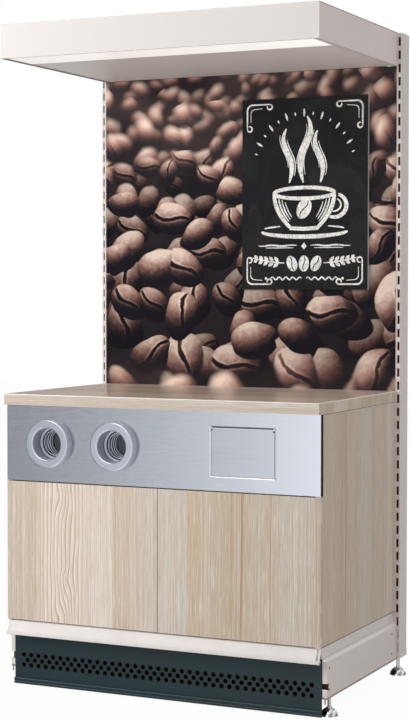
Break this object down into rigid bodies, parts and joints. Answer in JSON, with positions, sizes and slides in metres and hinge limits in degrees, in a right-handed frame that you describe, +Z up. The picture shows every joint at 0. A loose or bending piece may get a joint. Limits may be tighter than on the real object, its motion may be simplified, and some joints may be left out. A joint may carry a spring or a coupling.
{
  "type": "coffee station cabinet",
  "caption": "Shop coffee station: slotted frame with lit canopy and print panel, base cabinet with doors, steel fascia, cup dispensers and push waste flap, on levelling feet.",
  "frame": {"origin": "on the floor under the middle of the whole part's box", "axes": "+X to the right seen from the front, -Y to the front, +Z up"},
  "size_m": [1.05, 0.71, 1.958],
  "materials": {
    "frame_paint": "semi-gloss powder coat",
    "kick_paint": "satin powder coat",
    "rivet_steel": "painted over",
    "strip_plastic": "smooth",
    "printed_panel": "satin print on sheet",
    "chalkboard": "matt blackboard print",
    "diffuser": "opal",
    "white_tray": "gloss",
    "white_plastic": "smooth",
    "laminate": "matt pale ash laminate",
    "back_board": "matt",
    "fascia_core": "dark edged board",
    "fascia_steel": "long horizontal brush",
    "zinc_steel": "zinc plated",
    "bin_plastic": "fine grain",
    "collar_metal": "satin anodised",
    "tube_metal": "satin",
    "sleeve_plastic": "smooth",
    "pusher_plastic": "smooth",
    "spring_steel": "drawn wire",
    "black_plastic": "fine grain",
    "buffer_rubber": "clear grey",
    "foot_chrome": "polished"
  },
  "bodies": {
    "station": {"left_upright": "frame_paint", "right_upright": "frame_paint", "upright_caps": "frame_paint", "upright_shoes": "frame_paint", "crossbars": "frame_paint", "left_base_leg": "frame_paint", "right_base_leg": "frame_paint", "leg_rivets": "rivet_steel", "base_shelf": "frame_paint", "ticket_strip": "strip_plastic", "kick_plate": "kick_paint", "lower_back_panel": "frame_paint", "print_panel": "printed_panel", "poster_board": "chalkboard", "canopy_shell": "frame_paint", "canopy_brackets": "frame_paint", "canopy_soffit": "frame_paint", "led_diffuser": "diffuser", "led_tray": "white_tray", "led_driver": "white_plastic", "worktop": "laminate", "worktop_brackets": "zinc_steel", "left_side_panel": "laminate", "right_side_panel": "laminate", "cabinet_bottom": "laminate", "cabinet_back": "back_board", "cabinet_divider": "laminate", "front_rails": "laminate", "fascia_board": "fascia_core", "fascia_skin": "fascia_steel", "chute_frame": "fascia_steel", "flap_pin": "zinc_steel", "waste_chute": "zinc_steel", "waste_bin": "bin_plastic", "left_cup_collar": "collar_metal", "right_cup_collar": "collar_metal", "left_cup_tube": "tube_metal", "right_cup_tube": "tube_metal", "cup_sleeves": "sleeve_plastic", "left_pusher_spring": "spring_steel", "right_pusher_spring": "spring_steel", "tube_end_caps": "black_plastic", "tube_hanger": "zinc_steel", "pivot_plates": "zinc_steel", "door_buffers": "buffer_rubber", "latch_bodies": "white_plastic", "foot_nuts": "zinc_steel"},
    "left_door_leaf": {"left_door": "laminate", "left_door_bushes": "black_plastic"},
    "right_door_leaf": {"right_door": "laminate", "right_door_bushes": "black_plastic"},
    "flap": {"waste_flap": "fascia_steel"},
    "left_cup_pusher": {"left_pusher": "pusher_plastic"},
    "right_cup_pusher": {"right_pusher": "pusher_plastic"},
    "left_plunger": {"left_latch_plunger": "black_plastic"},
    "right_plunger": {"right_latch_plunger": "black_plastic"},
    "foot_front_left": {"front_left_foot": "foot_chrome"},
    "foot_front_right": {"front_right_foot": "foot_chrome"},
    "foot_rear_left": {"rear_left_foot": "foot_chrome"},
    "foot_rear_right": {"rear_right_foot": "foot_chrome"}
  },
  "joints": [
    {"name": "left_door_hinge", "type": "hinge", "parent": "station", "child": "left_door_leaf", "pos_m": [-0.4945, -0.3195, 0.4], "axis": [0, 0, -1], "range_deg": [0, 105]},
    {"name": "right_door_hinge", "type": "hinge", "parent": "station", "child": "right_door_leaf", "pos_m": [0.4945, -0.3195, 0.4], "axis": [0, 0, 1], "range_deg": [0, 105]},
    {"name": "waste_flap_hinge", "type": "hinge", "parent": "station", "child": "flap", "pos_m": [0.2655, -0.3228, 0.7928], "axis": [1, 0, 0], "range_deg": [0, 70]},
    {"name": "left_pusher_slide", "type": "slide", "parent": "station", "child": "left_cup_pusher", "axis": [0, 1, 0], "range_m": [0, 0.3], "stiffness_N_per_m": 20, "springref_m": -0.1, "deforming": ["left_pusher_spring"]},
    {"name": "right_pusher_slide", "type": "slide", "parent": "station", "child": "right_cup_pusher", "axis": [0, 1, 0], "range_m": [0, 0.3], "stiffness_N_per_m": 20, "springref_m": -0.1, "deforming": ["right_pusher_spring"]},
    {"name": "left_latch_press", "type": "slide", "parent": "station", "child": "left_plunger", "axis": [0, 1, 0], "range_m": [0, 0.006], "stiffness_N_per_m": 400, "springref_m": -0.01},
    {"name": "right_latch_press", "type": "slide", "parent": "station", "child": "right_plunger", "axis": [0, 1, 0], "range_m": [0, 0.006], "stiffness_N_per_m": 400, "springref_m": -0.01},
    {"name": "front_left_foot_height", "type": "slide", "parent": "station", "child": "foot_front_left", "axis": [0, 0, -1], "range_m": [-0.003, 0.015]},
    {"name": "front_right_foot_height", "type": "slide", "parent": "station", "child": "foot_front_right", "axis": [0, 0, -1], "range_m": [-0.003, 0.015]},
    {"name": "rear_left_foot_height", "type": "slide", "parent": "station", "child": "foot_rear_left", "axis": [0, 0, -1], "range_m": [-0.003, 0.015]},
    {"name": "rear_right_foot_height", "type": "slide", "parent": "station", "child": "foot_rear_right", "axis": [0, 0, -1], "range_m": [-0.003, 0.015]}
  ]
}
